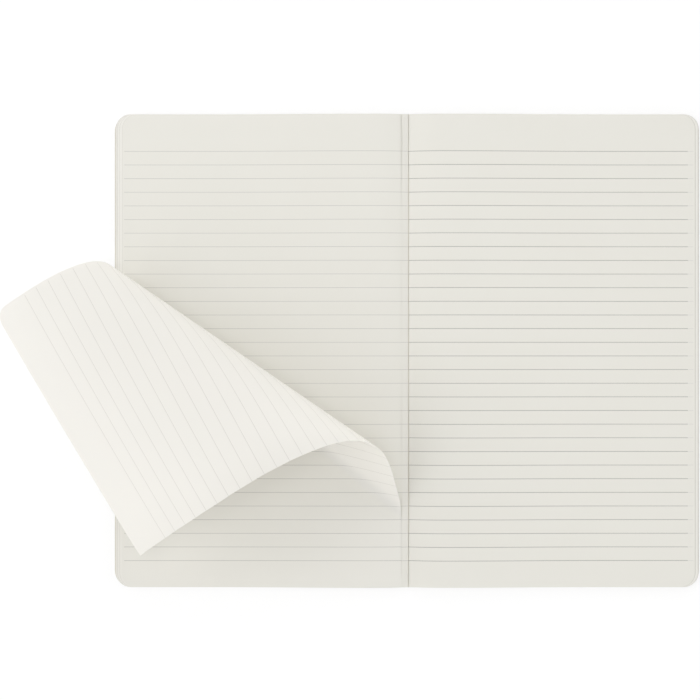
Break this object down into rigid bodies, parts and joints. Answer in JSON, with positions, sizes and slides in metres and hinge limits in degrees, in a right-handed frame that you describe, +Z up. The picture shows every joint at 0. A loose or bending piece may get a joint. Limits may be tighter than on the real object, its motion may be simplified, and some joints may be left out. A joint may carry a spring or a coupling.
{
  "type": "open ruled notebook",
  "caption": "Thread-sewn soft-cover ruled notebook lying open, with one perforated leaf torn off along the fold and rolled over the left page.",
  "frame": {"origin": "under the middle of the spine fold, on the plane the open covers rest on", "axes": "+X across the spread towards the right page's fore-edge, +Y to the head of the pages, +Z up out of the open pages"},
  "size_m": [0.3082, 0.21, 0.0605],
  "materials": {
    "cover_card": "smooth uncoated ivory card",
    "page_paper": "uncoated warm off-white writing paper",
    "leaf_paper": "uncoated warm off-white writing paper",
    "thread": "waxed linen thread"
  },
  "bodies": {
    "right_half": {"back_cover": "cover_card", "right_pages": "page_paper", "sewing_thread": "thread"},
    "left_half": {"front_cover": "cover_card", "left_pages": "page_paper", "torn_leaf": "leaf_paper"}
  },
  "joints": [
    {"name": "spine_fold", "type": "hinge", "parent": "right_half", "child": "left_half", "pos_m": [0, 0, 0.0036], "axis": [0, 1, 0], "range_deg": [0, 180], "deforming": ["torn_leaf"]}
  ]
}
